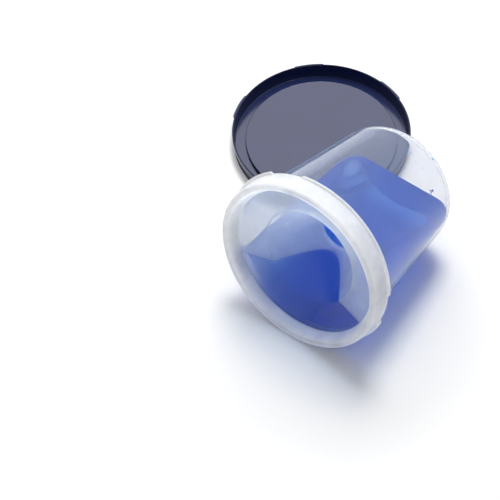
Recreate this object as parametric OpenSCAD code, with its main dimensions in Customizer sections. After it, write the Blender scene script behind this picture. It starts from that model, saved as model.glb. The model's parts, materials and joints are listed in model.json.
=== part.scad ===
// Brush washer: a tapered cup, a spill stop pushed onto its neck, and a snap lid.
// The cup lies on its side, resting on the collar's flange and on its own rounded base edge.
// The lid lies upside down beside the cup's base, with its open side up.
// X runs from the lid to the cup, Y from the cup's mouth to its base, and Z is up.
// The origin is the middle of the lid's outer face, on the floor.

/* [Cup] */
// Height of the cup's wall, from its underside to the collar's flange
wall_h = 75.8; // [60:0.1:110]
// Outside diameter of the neck that the spill stop pushes onto
neck_d = 84; // [76:0.1:110]
// How far the neck stands out beyond the top of the tapered wall
shoulder_w = 3.1; // [1.8:0.1:4.5]
// Height of the sloping shoulder under the neck
shoulder_h = 1.5; // [0.8:0.1:2.4]
// Slope of the tapered wall, in degrees
wall_taper = 6.1; // [2:0.1:9]
// Thickness of the cup's wall and floor
cup_wall = 1.2; // [0.8:0.1:1.8]
// Thickness of the neck
neck_wall = 1.1; // [0.8:0.1:1.5]
// Radius of the rounded edge between the wall and the underside
base_round = 11; // [5:0.1:16]

/* [Spill stop] */
// Height of the collar above the underside of its flange
collar_h = 10.7; // [9.6:0.1:14]
// Thickness of the collar's skirt
skirt_wall = 1.2; // [0.8:0.1:2]
// Width of the collar's rounded top ring
ring_w = 3; // [2.4:0.1:3.6]
// Depth from the top ring to the edge of the shallow cone
mouth_depth = 5.6; // [4.8:0.1:6.6]
// How far the mouth's wall draws in from the ring to the shallow cone
mouth_draw = 2.7; // [1.8:0.1:3.6]
// Depth of the shallow cone
dish_drop = 4.2; // [2:0.1:8]
// Diameter of the edge between the shallow cone and the steep funnel
cone_edge_d = 49; // [40:0.5:58]
// Depth of the steep funnel
funnel_h = 23; // [14:0.5:30]
// Diameter of the brush hole
hole_d = 20; // [12:0.5:30]
// Length of the straight lip round the brush hole
lip_h = 2.5; // [1.5:0.5:6]
// Thickness of the mouth's wall, both cones and the lip
funnel_wall = 1.1; // [0.8:0.1:1.5]
// How far the flange stands out from the skirt
flange_w = 1.4; // [0.8:0.1:2.5]
// Thickness of the flange
flange_t = 1.2; // [0.8:0.1:2]
// How much of the flange is left standing in its gaps
flange_root = 0.2; // [0.1:0.1:0.6]
// Number of gaps in the flange, where a fingernail lifts the lid
gap_count = 3; // [1:1:3]
// Width of each gap, in degrees
gap_deg = 22.5; // [8:0.5:36]
// Turn of the first gap from the X axis, in degrees
gap_turn = -5; // [-14:0.5:4]

/* [Lid] */
// Height of the lid from its outer face to its open edge
lid_h = 8.8; // [7:0.1:10.2]
// Thickness of the lid's skirt
lid_wall = 1.2; // [0.8:0.1:2]
// Thickness of the lid's panel
lid_t = 1.1; // [0.8:0.1:1.6]
// How far the middle disc is raised inside the lid
disc_rise = 2.3; // [0.3:0.1:3]
// Space between the raised disc and the top ring that it plugs
disc_gap = 2.3; // [1:0.1:6]
// Radius of the rounded outer edge of the panel
lid_round = 0.8; // [0.4:0.1:1.2]
// Number of lugs that help to pry the lid off
lug_count = 3; // [1:1:5]
// Turn from one lug to the next, in degrees
lug_pitch = 60; // [35:1:70]
// Width of each lug, in degrees
lug_deg = 20; // [8:0.5:30]
// How far a lug stands out
lug_out = 0.9; // [0.6:0.1:4]
// Height of a lug
lug_h = 2; // [1.2:0.1:3.5]
// Distance from the lid's open edge down to a lug
lug_drop = 0.4; // [0:0.1:0.8]
// Turn of the middle of the row of lugs from the X axis, in degrees
lug_turn = 135; // [90:1:180]

/* [Clearances] */
// Radial space between the neck and the spill stop
slip_gap = 0.3; // [0.1:0.05:0.5]
// Space between the top of the neck and the collar above it
seat_gap = 0.3; // [0.1:0.05:0.6]
// Radial space between the collar's skirt and the lid's skirt
lid_gap = 0.3; // [0.1:0.05:0.8]

/* [Arrangement] */
// Distance from the lid's middle to the flange, measured along the cup
cup_ahead = 88.7; // [70:0.1:110]
// Level space left between the lid and the lying cup
lay_gap = 0.6; // [0.4:0.1:20]

/* [Hidden] */
$fn = 120;
// Cut or joint overlap, so that no two faces only just meet
eps = 0.5;
// Degrees kept clear beyond each end of a lug
lug_margin = 1;
// Straight steps in a rounded corner of a turned outline
round_steps = 10;
// Points along the cup's side at which its distance from the lid is worked out
stations = 120;

// Radii that one piece takes from another
neck_r = neck_d / 2;
neck_in_r = neck_r - neck_wall;
skirt_in_r = neck_r + slip_gap;
skirt_r = skirt_in_r + skirt_wall;
flange_r = skirt_r + flange_w;
lid_in_r = skirt_r + lid_gap;
lid_r = lid_in_r + lid_wall;
disc_r = skirt_r - ring_w - disc_gap;

// Tapered wall and the middle of its rounded base edge
wall_top_r = neck_r - shoulder_w;
wall_base_r = wall_top_r - wall_h * tan(wall_taper);
base_c = [wall_base_r + base_round * tan(wall_taper) - base_round / cos(wall_taper), base_round];
wall_across = cup_wall / cos(wall_taper);
shoulder_slope = shoulder_h / shoulder_w;
shoulder_t = cup_wall * sqrt(1 + pow(shoulder_slope, 2));

// Corners of the mouth and funnel, as radius and height above the flange's underside
ring_c = [skirt_r - ring_w / 2, collar_h - ring_w / 2];
dish_p = [skirt_r - ring_w - mouth_draw, collar_h - mouth_depth];
edge_p = [cone_edge_d / 2, dish_p.y - dish_drop];
hole_p = [hole_d / 2, edge_p.y - funnel_h];
lip_p = hole_p - [0, lip_h];
ring_end = tangent_angle(ring_c, ring_w / 2, dish_p);
mouth_p = ring_c + ring_w / 2 * [cos(ring_end), sin(ring_end)];
mouth_dir = unit(mouth_p - dish_p);
dish_under = inset(mouth_p, dish_p, edge_p, funnel_wall);

// The neck reaches up between the skirt and the mouth's wall until slip_gap is left
neck_h = dish_under.y + (neck_in_r - slip_gap / mouth_dir.y - dish_under.x) * mouth_dir.y / mouth_dir.x;
crown_h = neck_h + seat_gap;
crown_r = dish_under.x + (crown_h - dish_under.y) * mouth_dir.x / mouth_dir.y;

// Tilt at which the flange and the rounded base edge both touch the floor
tilt_span = [flange_r - base_c.x, wall_h - base_round];
lie_tilt = acos(base_round / norm(tilt_span)) - atan2(tilt_span.y, tilt_span.x);
axis_h = flange_r * cos(lie_tilt);
cup_across = max([for (i = [0:stations]) reach_at(wall_h * i / stations)]);

function unit(v) = v / norm(v);

function left_of(v) = [-v.y, v.x];

// Corner b of the line a-b-c, moved to the line's left by the distance t
function inset(a, b, c, t) =
    let (n1 = left_of(unit(b - a)), n2 = left_of(unit(c - b)))
    b + t * (n1 + n2) / (1 + n1 * n2);

// Angle on a circle where a line from an inner, lower point just touches its top
function tangent_angle(c, r, p) =
    360 + atan2(p.y - c.y, p.x - c.x) - acos(r / norm(p - c));

function arc(c, r, from, to) =
    [for (i = [0:round_steps]) let (a = from + (to - from) * i / round_steps) c + r * [cos(a), sin(a)]];

// Outside radius of the cup at a distance s from the flange towards the base
function cup_r_at(s) =
    s < wall_h - base_round * (1 - sin(wall_taper))
        ? wall_top_r - s * tan(wall_taper)
        : base_c.x + sqrt(max(0, pow(base_round, 2) - pow(s - wall_h + base_round, 2)));

function lug_angle(i) = lug_turn + lug_pitch * (i - (lug_count - 1) / 2);

// Radius of the lid's edge in a direction, with each lug counted lug_margin degrees wider
function lid_reach(a) =
    let (off = min([for (i = [0:lug_count - 1]) abs((a - lug_angle(i) + 540) % 360 - 180)]))
    off < lug_deg / 2 + lug_margin ? lid_r + lug_out : lid_r;

// Distance that the cup's axis needs from the lid's middle, so that the section s clears the lid
function reach_at(s) =
    let (
        down = (axis_h - s * sin(lie_tilt) - lid_h) / cos(lie_tilt),
        r = cup_r_at(s),
        half = sqrt(max(0, r * r - down * down)),
        y = s * cos(lie_tilt) - down * sin(lie_tilt) - cup_ahead,
        lid_side = lid_reach(asin(max(-1, min(1, y / lid_r)))) + lay_gap
    )
    r > down ? half + sqrt(max(0, lid_side * lid_side - y * y)) : 0;

// Lays a piece that stands on the cup's base down on its side
module lying() {
    translate([cup_across, -cup_ahead, axis_h])
        rotate([90 - lie_tilt, 0, 0])
            translate([0, 0, -wall_h])
                children();
}

module cup() {
    inner_round = max(base_round - cup_wall, 0.2);
    outside = concat(
        [[0, 0]],
        arc(base_c, base_round, -90, -wall_taper),
        [
            [wall_top_r, wall_h],
            [neck_r, wall_h + shoulder_h],
            [neck_r, wall_h + neck_h]
        ]
    );
    step_in = wall_top_r - wall_across;
    step_z = shoulder_t - shoulder_slope * (wall_top_r - step_in);
    inside = concat(
        [
            [neck_in_r, wall_h + neck_h],
            [neck_in_r, wall_h + shoulder_t + shoulder_slope * (neck_in_r - wall_top_r)],
            [step_in + step_z * tan(wall_taper), wall_h + step_z]
        ],
        arc(base_c, inner_round, -wall_taper, -90),
        [[0, base_round - inner_round]]
    );
    color([0.72, 0.79, 0.88, 0.5])
        lying()
            rotate_extrude()
                polygon(concat(outside, inside));
}

module spill_stop() {
    mouth_side = concat(
        [[skirt_r + flange_root, 0], [skirt_r + flange_root, flange_t], [skirt_r, flange_t]],
        arc(ring_c, ring_w / 2, 0, ring_end),
        [dish_p, edge_p, hole_p, lip_p]
    );
    cup_side = [
        lip_p + [funnel_wall, 0],
        inset(edge_p, hole_p, lip_p, funnel_wall),
        inset(dish_p, edge_p, hole_p, funnel_wall),
        dish_under,
        [crown_r, crown_h],
        [skirt_in_r, crown_h],
        [skirt_in_r, 0]
    ];
    color([0.93, 0.95, 0.95, 0.9])
        lying()
            translate([0, 0, wall_h]) {
                rotate_extrude()
                    polygon(concat(mouth_side, cup_side));
                flange();
            }
}

// Thin ring at the foot of the skirt, broken by the gaps
module flange() {
    pitch = 360 / gap_count;
    for (i = [0:gap_count - 1])
        rotate([0, 0, gap_turn + pitch * i + gap_deg / 2])
            rotate_extrude(angle = pitch - gap_deg)
                translate([skirt_r - eps, 0])
                    square([flange_w + eps, flange_t]);
}

module lid() {
    color([0.13, 0.14, 0.32]) {
        rotate_extrude()
            polygon(concat(
                [[0, disc_rise], [disc_r - lid_t, disc_rise], [disc_r - lid_t, 0]],
                arc([lid_r - lid_round, lid_round], lid_round, -90, 0),
                [
                    [lid_r, lid_h],
                    [lid_in_r, lid_h],
                    [lid_in_r, lid_t],
                    [disc_r, lid_t],
                    [disc_r, lid_t + disc_rise],
                    [0, lid_t + disc_rise]
                ]
            ));
        for (i = [0:lug_count - 1])
            rotate([0, 0, lug_angle(i) - lug_deg / 2])
                lug();
    }
}

module lug() {
    rotate_extrude(angle = lug_deg)
        translate([lid_r - eps, lid_h - lug_drop - lug_h])
            square([lug_out + eps, lug_h]);
}

cup();
spill_stop();
lid();
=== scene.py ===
"""Brush washer with lid: smooth moulded shells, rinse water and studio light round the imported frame."""

import json
import math

import bpy
from mathutils import Matrix, Vector


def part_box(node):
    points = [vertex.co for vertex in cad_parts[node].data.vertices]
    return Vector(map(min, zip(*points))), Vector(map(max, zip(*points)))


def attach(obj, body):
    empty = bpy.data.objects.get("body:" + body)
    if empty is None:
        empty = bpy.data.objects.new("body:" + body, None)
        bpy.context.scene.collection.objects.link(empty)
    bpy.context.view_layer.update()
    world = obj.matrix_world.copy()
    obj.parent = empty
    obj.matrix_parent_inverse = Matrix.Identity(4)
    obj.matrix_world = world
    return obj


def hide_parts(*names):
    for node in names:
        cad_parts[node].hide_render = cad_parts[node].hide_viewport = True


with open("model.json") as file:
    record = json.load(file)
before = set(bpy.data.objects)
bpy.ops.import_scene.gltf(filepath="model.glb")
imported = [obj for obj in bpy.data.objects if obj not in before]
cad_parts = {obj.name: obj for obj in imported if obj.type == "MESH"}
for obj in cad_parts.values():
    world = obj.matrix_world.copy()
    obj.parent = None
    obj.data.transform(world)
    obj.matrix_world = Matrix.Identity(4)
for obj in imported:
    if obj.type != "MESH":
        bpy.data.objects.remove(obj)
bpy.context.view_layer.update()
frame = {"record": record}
scene = bpy.context.scene
mounts = {m["name"]: m for m in frame["record"]["mounts"]}

MM = 0.001

# Cup, in millimetres, standing on its base
WALL_H = 75.8
NECK_R = 42.0
NECK_WALL = 1.1
NECK_TOP = WALL_H + 7.55
SHOULDER_W = 3.1
SHOULDER_H = 1.5
WALL_TAPER = math.radians(6.1)
CUP_WALL = 1.2
BASE_ROUND = 11.0
RIM_ROUND = 0.4

# Spill stop, with heights above the underside of its flange
SKIRT_IN_R = 42.3
SKIRT_R = 43.5
COLLAR_H = 10.7
RING_W = 3.0
RING_OUT_ROUND = RING_W / 2 - 0.05
RING_IN_ROUND = RING_W / 2 - 0.45
RING_OUT_DROP = 0.02
RING_IN_STEP = 0.24
MOUTH_R, MOUTH_Z = 40.71, 9.97
DISH_R, DISH_Z = 37.8, 5.1
EDGE_R, EDGE_Z = 24.5, 0.9
EDGE_ROUND = 0.5
HOLE_R, HOLE_Z = 10.0, -22.1
LIP_H = 2.5
LIP_ROUND = 0.3
FUNNEL_WALL = 1.1
CROWN_Z = 7.85
SKIRT_ROUND = 0.2
FLANGE_R = 44.9
FLANGE_T = 1.2
FLANGE_ROOT_R = 43.7
FLANGE_ROUND = 0.15
GAP_COUNT = 3
GAP_WIDTH = math.radians(22.5)
GAP_TURN = math.radians(-5)

# Lid, lying on its outer face
LID_H = 8.8
LID_R = 45.0
LID_IN_R = 43.8
LID_T = 1.1
LID_EDGE_ROUND = 0.8
LID_RIM_ROUND = 0.25
LID_CORNER_ROUND = 0.5
DISC_R = 38.2
DISC_RISE = 2.3
DISC_ROUND = 0.2
RECESS_ROUND = 0.15
RECESS_EDGE_ROUND = 0.3
LUG_COUNT = 3
LUG_PITCH = math.radians(60)
LUG_WIDTH = math.radians(20)
LUG_TURN = math.radians(135)
LUG_OUT = 0.9
LUG_TOP = 8.4
LUG_BOTTOM = 6.4
LUG_BEVEL = 0.25
LUG_STEP = 0.02

# Rounding where a wall of the cup or of the funnel bends
BEND = 0.8

# Height of the rinse water above the floor, a compromise between its left and right side in the photograph
WATER_LEVEL = 29.2
# Air left between water and plastic, so that the faces never meet
WATER_GAP = 0.05
# How far the block that cuts the water level reaches past the cup, in metres
CUT_MARGIN = 0.01

# How a turned piece is built: radius of the circle that its outline is swept along, smaller than any
# outline, distance at which points are welded, and the turn over which a lug's end rises
PATH_R = 1 * MM
WELD = 0.000002
LUG_END = math.radians(0.8)
# Steps round a turned piece, more of them where it has lugs
CUP_STEPS = 360
LUGGED_STEPS = 480
WATER_STEPS = 256


# Nodes


def add(tree, kind, inputs=None, **settings):
    """Adds a node, sets its settings, and links or fills its inputs."""
    node = tree.nodes.new(kind)
    for name, value in settings.items():
        setattr(node, name, value)
    for key, value in (inputs or {}).items():
        if isinstance(value, bpy.types.NodeSocket):
            tree.links.new(value, node.inputs[key])
        else:
            node.inputs[key].default_value = value
    return node


def maths(tree, operation, *values, clamp=False):
    """Result of a Math node on up to three numbers or sockets."""
    return add(tree, "ShaderNodeMath", dict(enumerate(values)), operation=operation, use_clamp=clamp).outputs[0]


def ramp(tree, value, low, high, start=0.0, end=1.0, **settings):
    """Takes a value from low..high to start..end, and holds it at the ends."""
    return add(tree, "ShaderNodeMapRange", {"Value": value, "From Min": low, "From Max": high,
                                            "To Min": start, "To Max": end}, **settings).outputs[0]


def along(tree, axis, kind="Object"):
    """Place along one axis of a texture coordinate, which for Object is in metres in the shared frame."""
    place = add(tree, "ShaderNodeTexCoord").outputs[kind]
    return add(tree, "ShaderNodeSeparateXYZ", {0: place}).outputs[axis]


def mixed(tree, share, first, second):
    """Two shaders mixed, with that share of the second."""
    return add(tree, "ShaderNodeMixShader", {0: share, 1: first, 2: second}).outputs[0]


def turned_tree():
    """Nodes that sweep an outline round the Z axis and push marked points out in evenly spaced lugs."""
    tree = bpy.data.node_groups.new("turned_piece", "GeometryNodeTree")
    inputs = [("Outline", "Geometry"), ("Segments", "Int")]
    inputs += [(name, "Float") for name in ("Path radius", "Lug count", "Lug pitch", "Lug width", "Lug turn",
                                            "Lug end", "Inner radius")]
    inputs += [("Finish", "Material"), ("Inner finish", "Material")]
    for name, kind in inputs:
        tree.interface.new_socket(name, in_out="INPUT", socket_type="NodeSocket" + kind)
    tree.interface.new_socket("Piece", in_out="OUTPUT", socket_type="NodeSocketGeometry")
    given = add(tree, "NodeGroupInput").outputs

    circle = add(tree, "GeometryNodeCurvePrimitiveCircle",
                 {"Resolution": given["Segments"], "Radius": given["Path radius"]})
    profile = add(tree, "GeometryNodeMeshToCurve", {"Mesh": given["Outline"]})
    swept = add(tree, "GeometryNodeCurveToMesh",
                {"Curve": circle.outputs["Curve"], "Profile Curve": profile.outputs["Curve"]})
    welded = add(tree, "GeometryNodeMergeByDistance", {"Geometry": swept.outputs["Mesh"], "Distance": WELD})

    # How far each point is from the middle of its lug, and whether it is in the row of lugs at all
    place = add(tree, "GeometryNodeInputPosition").outputs["Position"]
    parts = add(tree, "ShaderNodeSeparateXYZ", {0: place}).outputs
    angle = maths(tree, "ARCTAN2", parts["Y"], parts["X"])
    angle = maths(tree, "SUBTRACT", angle, given["Lug turn"])
    angle = maths(tree, "WRAP", angle, math.pi, -math.pi)
    half_pitch = maths(tree, "MULTIPLY", given["Lug pitch"], 0.5)
    low = maths(tree, "MULTIPLY", half_pitch, -1.0)
    row_end = maths(tree, "MULTIPLY", half_pitch, given["Lug count"])
    in_row = maths(tree, "LESS_THAN", maths(tree, "ABSOLUTE", angle), row_end)
    off = maths(tree, "ABSOLUTE", maths(tree, "WRAP", angle, half_pitch, low))

    # The push outward, full over a lug and none past its ends
    half = maths(tree, "MULTIPLY", given["Lug width"], 0.5)
    full = maths(tree, "SUBTRACT", half, given["Lug end"])
    share = maths(tree, "MULTIPLY", ramp(tree, off, full, half, 1.0, 0.0), in_row)
    push = add(tree, "GeometryNodeInputNamedAttribute", {"Name": "push"}).outputs["Attribute"]
    flat = add(tree, "ShaderNodeCombineXYZ", {"X": parts["X"], "Y": parts["Y"]}).outputs[0]
    outward = add(tree, "ShaderNodeVectorMath", {0: flat}, operation="NORMALIZE").outputs[0]
    move = add(tree, "ShaderNodeVectorMath",
               {0: outward, "Scale": maths(tree, "MULTIPLY", share, push)}, operation="SCALE").outputs[0]
    moved = add(tree, "GeometryNodeSetPosition", {"Geometry": welded.outputs["Geometry"], "Offset": move})
    turned_out = add(tree, "GeometryNodeFlipFaces", {"Mesh": moved.outputs["Geometry"]})
    real = add(tree, "GeometryNodeRealizeInstances", {"Geometry": turned_out.outputs["Mesh"]})

    dressed = add(tree, "GeometryNodeSetMaterial",
                  {"Geometry": real.outputs["Geometry"], "Material": given["Finish"]})
    radius = add(tree, "ShaderNodeVectorMath", {0: flat}, operation="LENGTH").outputs["Value"]
    inside = add(tree, "FunctionNodeCompare", {0: radius, 1: given["Inner radius"]},
                 operation="LESS_THAN").outputs[0]
    lined = add(tree, "GeometryNodeSetMaterial", {
        "Geometry": dressed.outputs["Geometry"], "Selection": inside, "Material": given["Inner finish"]})
    add(tree, "NodeGroupOutput", {0: lined.outputs["Geometry"]})
    return tree


# Geometry


def lying_matrix():
    """Takes a piece from standing on its base, in metres, to where the cup lies."""
    up = -Vector(mounts["cup_base"]["axis"])
    side = Vector((1, 0, 0))
    rows = Matrix((side, up.cross(side), up)).transposed().to_4x4()
    return Matrix.Translation(Vector(mounts["cup_base"]["pos_m"])) @ rows


def rounded(corners, closed=False, step=math.radians(9)):
    """Turns (radius, height, rounding, push) corners into a smooth outline of (radius, height, push)."""
    line = []
    count = len(corners)
    for i, (r, z, rounding, push) in enumerate(corners):
        here = Vector((r, z))
        if rounding == 0 or (not closed and i in (0, count - 1)):
            line.append((r, z, push))
            continue
        before = (Vector(corners[i - 1][:2]) - here).normalized()
        after = (Vector(corners[(i + 1) % count][:2]) - here).normalized()
        half = before.angle(after) / 2
        middle = here + (before + after).normalized() * rounding / math.sin(half)
        first = here + before * rounding / math.tan(half) - middle
        turn = math.pi - 2 * half
        sign = 1 if first.x * after.y - first.y * after.x > 0 else -1
        steps = max(2, round(turn / step))
        for k in range(steps + 1):
            spot = middle + Matrix.Rotation(sign * turn * k / steps, 2) @ first
            line.append((spot.x, spot.y, push))
    return line


def inset(a, b, c, t):
    """Corner b of the line a-b-c, moved to the line's left by t."""
    first = (b - a).normalized()
    second = (c - b).normalized()
    n1 = Vector((-first.y, first.x))
    n2 = Vector((-second.y, second.x))
    return b + t * (n1 + n2) / (1 + n1.dot(n2))


def set_inputs(modifier, values):
    """Sets a modifier's named inputs by their sockets' identifiers."""
    for item in modifier.node_group.interface.items_tree:
        if item.in_out == "INPUT" and item.name in values:
            modifier[item.identifier] = values[item.name]


def settled(obj):
    """Makes the object's evaluated shape its plain mesh, and drops the modifiers that made it."""
    graph = bpy.context.evaluated_depsgraph_get()
    graph.update()
    mesh = bpy.data.meshes.new_from_object(obj.evaluated_get(graph), depsgraph=graph)
    obj.modifiers.clear()
    old = obj.data
    obj.data = mesh
    mesh.name = obj.name
    bpy.data.meshes.remove(old)


def finish_mesh(obj, sharp=math.radians(35)):
    """Smooth shading that stays crisp at real corners."""
    mesh = obj.data
    push = mesh.attributes.get("push")
    if push is not None:
        mesh.attributes.remove(push)
    mesh.shade_smooth()
    mesh.set_sharp_from_angle(angle=sharp)


def turned(name, outline, finish, segments=CUP_STEPS, closed=False, matrix=None, lugs=None, inner=None):
    """A piece turned from an outline of (radius, height, push) in millimetres. lugs holds the lugs' count,
    pitch, width and turn, and inner the radius within which the piece has another finish, and that finish."""
    mesh = bpy.data.meshes.new(name)
    points = [(r * MM - PATH_R, -z * MM, 0) for r, z, push in outline]
    edges = [(i, i + 1) for i in range(len(points) - 1)] + ([(len(points) - 1, 0)] if closed else [])
    mesh.from_pydata(points, edges, [])
    pushes = mesh.attributes.new("push", "FLOAT", "POINT")
    pushes.data.foreach_set("value", [push * MM for r, z, push in outline])
    obj = bpy.data.objects.new(name, mesh)
    scene.collection.objects.link(obj)
    modifier = obj.modifiers.new("turn", "NODES")
    modifier.node_group = TURNED
    count, pitch, width, turn = lugs or (1, math.tau, 0.0, 0.0)
    inner_r, inner_finish = inner or (0.0, finish)
    set_inputs(modifier, {"Segments": segments, "Path radius": PATH_R, "Lug count": float(count),
                          "Lug pitch": pitch, "Lug width": width, "Lug turn": turn, "Lug end": LUG_END,
                          "Inner radius": inner_r * MM, "Finish": finish, "Inner finish": inner_finish})
    settled(obj)
    if matrix is not None:
        obj.data.transform(matrix)
    finish_mesh(obj)
    return obj


# Outlines


def wall_r(z, depth=0.0):
    """Radius of the cup's tapered wall at a height, moved in by a depth."""
    top = NECK_R - SHOULDER_W
    return top - (WALL_H - z) * math.tan(WALL_TAPER) - depth / math.cos(WALL_TAPER)


def cup_inside(gap=0.0):
    """Corners of the cup's inside from its base up to the foot of its neck, moved in by a gap."""
    depth = CUP_WALL + gap
    slope = SHOULDER_H / SHOULDER_W
    rise = depth * math.sqrt(1 + slope * slope)
    top_r = NECK_R - SHOULDER_W
    neck_r = NECK_R - NECK_WALL - gap
    step_z = WALL_H + rise - slope * (top_r - wall_r(WALL_H, depth))
    return [
        (0, depth, 0, 0),
        (wall_r(depth, depth), depth, BASE_ROUND - depth, 0),
        (wall_r(step_z, depth), step_z, BEND, 0),
        (neck_r, WALL_H + rise + slope * (neck_r - top_r), BEND, 0),
    ]


def cup_outline():
    return rounded([
        (0, 0, 0, 0),
        (wall_r(0), 0, BASE_ROUND, 0),
        (NECK_R - SHOULDER_W, WALL_H, BEND, 0),
        (NECK_R, WALL_H + SHOULDER_H, BEND, 0),
        (NECK_R, NECK_TOP, RIM_ROUND, 0),
        (NECK_R - NECK_WALL, NECK_TOP, RIM_ROUND, 0),
    ] + cup_inside()[::-1])


def funnel_corners():
    """The mouth's dish corner, cone edge, hole and lip corners, on the side that faces out of the cup."""
    return [Vector(p) for p in (
        (DISH_R, DISH_Z), (EDGE_R, EDGE_Z), (HOLE_R, HOLE_Z), (HOLE_R, HOLE_Z - LIP_H))]


def spill_stop_underside(depth, crown_z):
    """The funnel's corners moved in by a depth, and where its rim then reaches a height."""
    dish, edge, hole, lip = funnel_corners()
    mouth = Vector((MOUTH_R, MOUTH_Z))
    under = [inset(a, b, c, depth) for a, b, c in ((edge, hole, lip), (dish, edge, hole), (mouth, dish, edge))]
    up = (mouth - dish).normalized()
    return under, under[2] + up * (crown_z - under[2].y) / up.y


def spill_stop_outline():
    dish, edge, hole, lip = funnel_corners()
    under, crown = spill_stop_underside(FUNNEL_WALL, CROWN_Z)
    root = FLANGE_ROOT_R
    push = FLANGE_R - FLANGE_ROOT_R
    return [(r, z + WALL_H, p) for r, z, p in rounded([
        (root, 0, FLANGE_ROUND, push),
        (root, FLANGE_T, FLANGE_ROUND, push),
        (SKIRT_R, FLANGE_T, 0, 0),
        (SKIRT_R, COLLAR_H - RING_OUT_DROP, RING_OUT_ROUND, 0),
        (MOUTH_R - RING_IN_STEP, COLLAR_H, RING_IN_ROUND, 0),
        (dish.x, dish.y, BEND, 0),
        (edge.x, edge.y, EDGE_ROUND, 0),
        (hole.x, hole.y, BEND, 0),
        (lip.x, lip.y, LIP_ROUND, 0),
        (lip.x + FUNNEL_WALL, lip.y, LIP_ROUND, 0),
        *((corner.x, corner.y, BEND, 0) for corner in under),
        (crown.x, crown.y, SKIRT_ROUND, 0),
        (SKIRT_IN_R, crown.y, SKIRT_ROUND, 0),
        (SKIRT_IN_R, 0, SKIRT_ROUND, 0),
    ], closed=True)]


def lid_outline():
    recess_r = DISC_R - LID_T
    return rounded([
        (0, DISC_RISE, 0, 0),
        (recess_r, DISC_RISE, RECESS_ROUND, 0),
        (recess_r, 0, RECESS_EDGE_ROUND, 0),
        (LID_R, 0, LID_EDGE_ROUND, 0),
        (LID_R, LUG_BOTTOM, 0, 0),
        (LID_R, LUG_BOTTOM + LUG_STEP, 0, LUG_OUT - LUG_BEVEL),
        (LID_R, LUG_BOTTOM + LUG_BEVEL, 0, LUG_OUT),
        (LID_R, LUG_TOP - LUG_BEVEL, 0, LUG_OUT),
        (LID_R, LUG_TOP - LUG_STEP, 0, LUG_OUT - LUG_BEVEL),
        (LID_R, LUG_TOP, 0, 0),
        (LID_R, LID_H, LID_RIM_ROUND, 0),
        (LID_IN_R, LID_H, LID_CORNER_ROUND, 0),
        (LID_IN_R, LID_T, LID_CORNER_ROUND, 0),
        (DISC_R, LID_T, DISC_ROUND, 0),
        (DISC_R, LID_T + DISC_RISE, DISC_ROUND, 0),
        (0, LID_T + DISC_RISE, 0, 0),
    ])


def water_outline():
    """All the room between cup and spill stop, less the gap on every side."""
    under, crown = spill_stop_underside(FUNNEL_WALL + WATER_GAP, NECK_TOP - WALL_H - WATER_GAP)
    corners = cup_inside(WATER_GAP)
    neck_r = corners[-1][0]
    lip_z = WALL_H + HOLE_Z - LIP_H - WATER_GAP
    return rounded(corners + [
        (neck_r, WALL_H + crown.y, 0, 0),
        (crown.x, WALL_H + crown.y, 0, 0),
        *((corner.x, WALL_H + corner.y, BEND, 0) for corner in reversed(under)),
        (under[0].x, lip_z, LIP_ROUND, 0),
        (0, lip_z, 0, 0),
    ])


# Materials
#
# Their values were tuned against the photograph. They aren't measured ones.


# Polypropylene has an index of refraction of about 1.49. This lower one isn't a physical value: it
# weakens reflections, and is meant to keep the white surroundings from greying the blue of the water.
PLASTIC_IOR = 1.22
POLYETHYLENE_IOR = 1.48
WATER_IOR = 1.33
BUMP_DEPTH = 0.0002

# Share of light that the pigment in the water scatters where light enters or leaves it
PIGMENT = 0.42
# Half the height over which wetted plastic turns dry, in millimetres
WET_EDGE = 0.3
# Size of the haze's drift, of the moulded grain and of the wear of the gloss on clear plastic, in millimetres
FLOW_SIZE, GRAIN_SIZE, WEAR_SIZE = 14.0, 0.8, 5.0
# How far haze and roughness vary round their own values, and over how much of the noise
HAZE_RANGE = (0.85, 1.15)
ROUGH_RANGE = (0.7, 1.5)
FLOW_RANGE = (0.3, 0.7)
# How edge-on the plastic is seen where its extra haze sets in and is full
EDGE_RANGE = (0.55, 0.95)
# Dried dots of paint and dark specks: size in millimetres, and the noise above which one shows
DOT_SIZE, DOT_LIMIT = 3.0, 0.745
SPECK_SIZE, SPECK_LIMIT = 1.6, 0.73
SPECK_SOFTNESS = 0.03
# How far along the cup the dots set in, in millimetres, and how much they cover
DOTS_FADE = 8
DOTS_COVER = 0.8


def colour(hex_code):
    """An sRGB hex colour as linear red, green, blue and alpha."""
    parts = [int(hex_code[i:i + 2], 16) / 255 for i in (1, 3, 5)]
    return tuple(p / 12.92 if p <= 0.04045 else ((p + 0.055) / 1.055) ** 2.4 for p in parts) + (1.0,)


def new_material(name):
    material = bpy.data.materials.new(name)
    material.use_nodes = True
    material.node_tree.nodes.clear()
    return material, material.node_tree


def object_noise(tree, size, detail=2.0, roughness=0.5):
    """Noise whose features are about that many millimetres across."""
    place = add(tree, "ShaderNodeTexCoord").outputs["Object"]
    return add(tree, "ShaderNodeTexNoise", {"Vector": place, "Scale": 1 / (size * MM),
                                            "Detail": detail, "Roughness": roughness}).outputs[0]


def specks(tree, size, limit):
    """1 on sparse, soft-edged dots of about that many millimetres, and 0 between them."""
    return ramp(tree, object_noise(tree, size, detail=1.0), limit, limit + SPECK_SOFTNESS)


def grain_bump(tree, size, strength):
    """Fine unevenness of a moulded face, as a normal."""
    return add(tree, "ShaderNodeBump", {"Height": object_noise(tree, size, detail=3.0),
                                        "Strength": strength, "Distance": BUMP_DEPTH}).outputs[0]


def tinted(tree, factor, base, over):
    """One colour over another by a factor."""
    return add(tree, "ShaderNodeMix", {"Factor": factor, "A": base, "B": over},
               data_type="RGBA").outputs["Result"]


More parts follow.
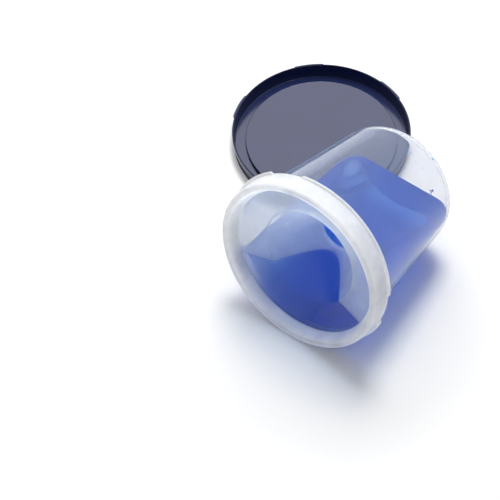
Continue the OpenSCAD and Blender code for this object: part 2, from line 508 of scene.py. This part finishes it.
def scattering(tree, tint, share_through, **normal):
    """Light thrown back in front and, by that share, let out diffusely behind."""
    front = add(tree, "ShaderNodeBsdfDiffuse", {"Color": tint, **normal}).outputs[0]
    through = add(tree, "ShaderNodeBsdfTranslucent", {"Color": tint}).outputs[0]
    return mixed(tree, share_through, front, through)


def lamp_light_passes(tree, shader, tint):
    """Lets rays from lamps through, tinted, so that plastic and water throw coloured shadows."""
    path = add(tree, "ShaderNodeLightPath").outputs["Is Shadow Ray"]
    clear = add(tree, "ShaderNodeBsdfTransparent", {"Color": tint}).outputs[0]
    return mixed(tree, path, shader, clear)


def polypropylene(name, tone, haze, lamp_tint, rough, edge_haze, wet_haze=None, dots_from=None):
    """Moulded natural polypropylene. It reads as a hazy sheet with soft gloss, milkier where it is seen
    edge-on. haze is the share of light that the plastic scatters, in the colour tone, and lamp_tint is
    what it leaves of a lamp's light. Given a wet_haze, the plastic below the waterline is wetted and
    scatters only that share, so that the water shows deep and clear there. That wet part is fixed to the
    piece, so it travels along when the piece is pulled off. dots_from is the place along the frame's Y
    axis, in millimetres, past which a few dried dots of blue paint stick to the dry wall."""
    material, tree = new_material(name)
    flow = object_noise(tree, FLOW_SIZE, detail=3.0)
    cloud = ramp(tree, flow, *FLOW_RANGE, haze * HAZE_RANGE[0], haze * HAZE_RANGE[1])
    dry = 1.0
    if wet_haze is not None:
        dry = ramp(tree, along(tree, "Z"), (WATER_LEVEL - WET_EDGE) * MM, (WATER_LEVEL + WET_EDGE) * MM)
        cloud = add(tree, "ShaderNodeMix", {"Factor": dry, "A": wet_haze, "B": cloud}).outputs["Result"]
    edge_on = add(tree, "ShaderNodeLayerWeight", {"Blend": 0.5}).outputs["Facing"]
    cloud = maths(tree, "ADD", cloud, ramp(tree, edge_on, *EDGE_RANGE, 0.0, edge_haze), clamp=True)

    bump = grain_bump(tree, GRAIN_SIZE, 0.004)
    wear = object_noise(tree, WEAR_SIZE, detail=4.0)
    wear = ramp(tree, wear, 0.0, 1.0, rough * ROUGH_RANGE[0], rough * ROUGH_RANGE[1])
    glassy = add(tree, "ShaderNodeBsdfPrincipled", {
        "Base Color": (1, 1, 1, 1), "Transmission Weight": 1.0, "IOR": PLASTIC_IOR,
        "Roughness": wear, "Normal": bump}).outputs[0]
    body = mixed(tree, cloud, glassy, scattering(tree, tone, 0.5, Normal=bump))

    if dots_from is not None:
        near_base = ramp(tree, along(tree, "Y"), (dots_from - DOTS_FADE) * MM, dots_from * MM)
        dots = maths(tree, "MULTIPLY", specks(tree, DOT_SIZE, DOT_LIMIT), dry)
        dots = maths(tree, "MULTIPLY", dots, near_base)
        dots = maths(tree, "MULTIPLY", dots, DOTS_COVER)
        paint = add(tree, "ShaderNodeBsdfDiffuse", {"Color": colour("#3F7CC4")}).outputs[0]
        body = mixed(tree, dots, body, paint)
    add(tree, "ShaderNodeOutputMaterial", {"Surface": lamp_light_passes(tree, body, lamp_tint)})
    return material


def navy_polyethylene():
    """Injection-moulded, pigmented polyethylene: near black in shade, navy where lit, with a soft mirror
    gloss and a few dark specks."""
    material, tree = new_material("moulded_navy_polyethylene")
    wear = ramp(tree, object_noise(tree, 6.0, detail=5.0), 0.0, 1.0, 0.14, 0.24)
    shade = tinted(tree, object_noise(tree, 25.0), colour("#17224F"), colour("#1B2859"))
    shade = tinted(tree, specks(tree, SPECK_SIZE, SPECK_LIMIT), shade, colour("#05070F"))
    surface = add(tree, "ShaderNodeBsdfPrincipled", {
        "Base Color": shade, "Roughness": wear, "IOR": POLYETHYLENE_IOR,
        "Normal": grain_bump(tree, 1.2, 0.03)}).outputs[0]
    add(tree, "ShaderNodeOutputMaterial", {"Surface": surface})
    return material


def blue_rinse_water():
    """Water with blue watercolour rinsed into it: the water swallows red with depth, and the
    pigment afloat in it scatters blue, so that it stays blue where no light comes through."""
    material, tree = new_material("water_with_blue_watercolour")
    clear = add(tree, "ShaderNodeBsdfPrincipled", {
        "Base Color": colour("#FFFFFF"), "Transmission Weight": 1.0, "IOR": WATER_IOR,
        "Roughness": 0.0}).outputs[0]
    body = mixed(tree, PIGMENT, clear, scattering(tree, colour("#0E74E8"), 0.4))
    depth = add(tree, "ShaderNodeVolumeAbsorption", {"Color": colour("#00B8F0"), "Density": 90.0}).outputs[0]
    add(tree, "ShaderNodeOutputMaterial", {
        "Surface": lamp_light_passes(tree, body, colour("#7CA4DC")), "Volume": depth})
    return material


def seen_by_eye(tree):
    """1 on rays that the eye sees straight, mirrored or through glass, and 0 on those that light a surface."""
    path = add(tree, "ShaderNodeLightPath").outputs
    seen = maths(tree, "MAXIMUM", path["Is Camera Ray"], path["Is Glossy Ray"])
    seen = maths(tree, "MAXIMUM", seen, path["Is Transmission Ray"])
    straight = maths(tree, "LESS_THAN", path["Diffuse Depth"], 0.5)
    return maths(tree, "MULTIPLY", seen, straight)


def studio_white(name, glow, centre, near, far):
    """Matt white paper: a little light of its own, seen only by the eye and only away from the object,
    keeps it white past the shadows. It grows from near to far round the centre, in metres."""
    material, tree = new_material(name)
    place = add(tree, "ShaderNodeTexCoord").outputs["Object"]
    away = add(tree, "ShaderNodeVectorMath", {0: place, 1: centre}, operation="DISTANCE").outputs["Value"]
    past = ramp(tree, away, near, far, 0.0, glow, interpolation_type="SMOOTHSTEP")
    strength = maths(tree, "MULTIPLY", seen_by_eye(tree), past)
    paper = add(tree, "ShaderNodeBsdfDiffuse", {"Color": colour("#F9F9F9")}).outputs[0]
    light = add(tree, "ShaderNodeEmission", {"Strength": strength}).outputs[0]
    both = add(tree, "ShaderNodeAddShader", {0: paper, 1: light}).outputs[0]
    add(tree, "ShaderNodeOutputMaterial", {"Surface": both})
    return material


# Pieces

TURNED = turned_tree()
LYING = lying_matrix()

clear_plastic = polypropylene(
    "moulded_clear_polypropylene", colour("#AEBFD8"), haze=0.10, lamp_tint=colour("#C6D0DC"), rough=0.05,
    edge_haze=0.30, wet_haze=0.005, dots_from=-32.0)
funnel_plastic = polypropylene(
    "moulded_thin_milky_polypropylene", colour("#E2EAF6"), haze=0.42, lamp_tint=colour("#D8E0EA"), rough=0.06,
    edge_haze=0.0, wet_haze=0.01)
milky_plastic = polypropylene(
    "moulded_milky_polypropylene", colour("#FEFEFE"), haze=0.68, lamp_tint=colour("#F4F6F8"), rough=0.14,
    edge_haze=0.1)
navy_plastic = navy_polyethylene()
water_look = blue_rinse_water()

cup_shell = turned("cup_shell", cup_outline(), clear_plastic, matrix=LYING)
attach(cup_shell, "cup")
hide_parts("cup")

stop_shell = turned(
    "spill_stop_shell", spill_stop_outline(), milky_plastic, segments=LUGGED_STEPS, closed=True, matrix=LYING,
    lugs=(GAP_COUNT, math.tau / GAP_COUNT, math.tau / GAP_COUNT - GAP_WIDTH, GAP_TURN + math.pi / GAP_COUNT),
    inner=(DISH_R, funnel_plastic))
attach(stop_shell, "spill_stop")
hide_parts("spill_stop")

lid_shell = turned("lid_shell", lid_outline(), navy_plastic, segments=LUGGED_STEPS,
                   lugs=(LUG_COUNT, LUG_PITCH, LUG_WIDTH, LUG_TURN))
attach(lid_shell, "lid")
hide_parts("lid")


def water_body():
    """The water inside the lying cup: all the room between cup and spill stop, cut level."""
    room = turned("rinse_water", water_outline(), water_look, segments=WATER_STEPS, matrix=LYING)
    low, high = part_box("cup")
    block = bpy.data.meshes.new("below_water_level")
    x0, y0, z0 = low - Vector((CUT_MARGIN, CUT_MARGIN, CUT_MARGIN))
    x1, y1 = high.x + CUT_MARGIN, high.y + CUT_MARGIN
    z1 = WATER_LEVEL * MM
    corners = [(x, y, z) for z in (z0, z1) for x, y in ((x0, y0), (x1, y0), (x1, y1), (x0, y1))]
    faces = [(3, 2, 1, 0), (4, 5, 6, 7), (0, 1, 5, 4), (1, 2, 6, 5), (2, 3, 7, 6), (3, 0, 4, 7)]
    block.from_pydata(corners, [], faces)
    level = bpy.data.objects.new("below_water_level", block)
    scene.collection.objects.link(level)
    modifier = room.modifiers.new("level", "BOOLEAN")
    modifier.object = level
    modifier.operation = "INTERSECT"
    modifier.solver = "EXACT"
    settled(room)
    bpy.data.objects.remove(level)
    finish_mesh(room)
    return room


water = water_body()
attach(water, "cup")


# Floor, light and camera

# Where the photograph was taken from, worked out from its edges
CAMERA_AZIMUTH = math.radians(39.68)
CAMERA_ELEVATION = math.radians(52.48)
CAMERA_DISTANCE = 1.021
CAMERA_ROLL = math.radians(-2.18)
CAMERA_AIM = Vector((0.01375, -0.07637, 0.0))
FOCAL_SHARE = 2094.7 / 500
SENSOR = 36.0
CLIP_END = 20

FLOOR_HALF = 3.0
# Where the floor keeps its shadows, and how far out its own light sets in and is full
SHADOW_CENTRE = (0.078, -0.082, 0)
GLOW = 0.16
GLOW_NEAR = 0.045
GLOW_FAR = 0.10

AMBIENT = 0.65
OVERHEAD_POWER = 1.5
LAMP_AIM = Vector((0.03, -0.03, 0.03))
# Each lamp's name, turn from the camera in half turns, elevation, distance, side and radiance
LAMPS = (
    ("back_softbox", 1.0, math.radians(55), 1.1, 0.6, 2.55),
    ("top_lamp", 0.9, math.radians(72), 1.2, 0.35, 21.0),
)


def stage_floor():
    mesh = bpy.data.meshes.new("studio_floor")
    s = FLOOR_HALF
    mesh.from_pydata([(-s, -s, 0), (s, -s, 0), (s, s, 0), (-s, s, 0)], [], [(0, 1, 2, 3)])
    floor = bpy.data.objects.new("studio_floor", mesh)
    scene.collection.objects.link(floor)
    mesh.materials.append(studio_white("matt_white_paper", GLOW, SHADOW_CENTRE, GLOW_NEAR, GLOW_FAR))


def softbox(name, place, aim, side, radiance):
    """A square lamp turned to a point, whose power is set from a radiance so that its size can change."""
    data = bpy.data.lights.new(name, "AREA")
    data.shape = "RECTANGLE"
    data.size = side
    data.size_y = side
    data.energy = radiance * math.pi * side * side
    lamp = bpy.data.objects.new(name, data)
    scene.collection.objects.link(lamp)
    lamp.location = place
    lamp.rotation_euler = (Vector(aim) - Vector(place)).to_track_quat("-Z", "Y").to_euler()


def studio_world(ambient):
    """White to the eye. On surfaces it is brighter from overhead, so that shadows deepen at the contact."""
    world = bpy.data.worlds.new("white_studio")
    scene.world = world
    world.use_nodes = True
    tree = world.node_tree
    tree.nodes.clear()
    height = maths(tree, "MAXIMUM", along(tree, "Z", kind="Generated"), 0.0)
    light = maths(tree, "MULTIPLY", maths(tree, "POWER", height, OVERHEAD_POWER), ambient)
    strength = add(tree, "ShaderNodeMix", {"Factor": seen_by_eye(tree), "A": light, "B": 1.0}).outputs["Result"]
    sky = add(tree, "ShaderNodeBackground", {"Color": (1, 1, 1, 1), "Strength": strength}).outputs[0]
    add(tree, "ShaderNodeOutputWorld", {"Surface": sky})


def toward(azimuth, elevation):
    """Direction from the object out to a viewer at that azimuth and elevation."""
    flat = math.cos(elevation)
    return Vector((math.sin(azimuth) * flat, -math.cos(azimuth) * flat, math.sin(elevation)))


def photo_camera():
    data = bpy.data.cameras.new("photo_camera")
    data.sensor_width = SENSOR
    data.lens = FOCAL_SHARE * SENSOR
    data.clip_end = CLIP_END
    camera = bpy.data.objects.new("photo_camera", data)
    scene.collection.objects.link(camera)
    back = toward(CAMERA_AZIMUTH, CAMERA_ELEVATION)
    right = Vector((0, 0, 1)).cross(back).normalized()
    up = back.cross(right)
    c, s = math.cos(CAMERA_ROLL), math.sin(CAMERA_ROLL)
    axes = Matrix((c * right + s * up, c * up - s * right, back)).transposed().to_4x4()
    camera.matrix_world = Matrix.Translation(CAMERA_AIM + back * CAMERA_DISTANCE) @ axes
    scene.camera = camera


stage_floor()
studio_world(AMBIENT)
for lamp_name, turn, elevation, distance, side, radiance in LAMPS:
    lamp_place = LAMP_AIM + toward(CAMERA_AZIMUTH + math.pi * turn, elevation) * distance
    softbox(lamp_name, lamp_place, LAMP_AIM, side, radiance)
photo_camera()
scene.view_settings.view_transform = "Standard"
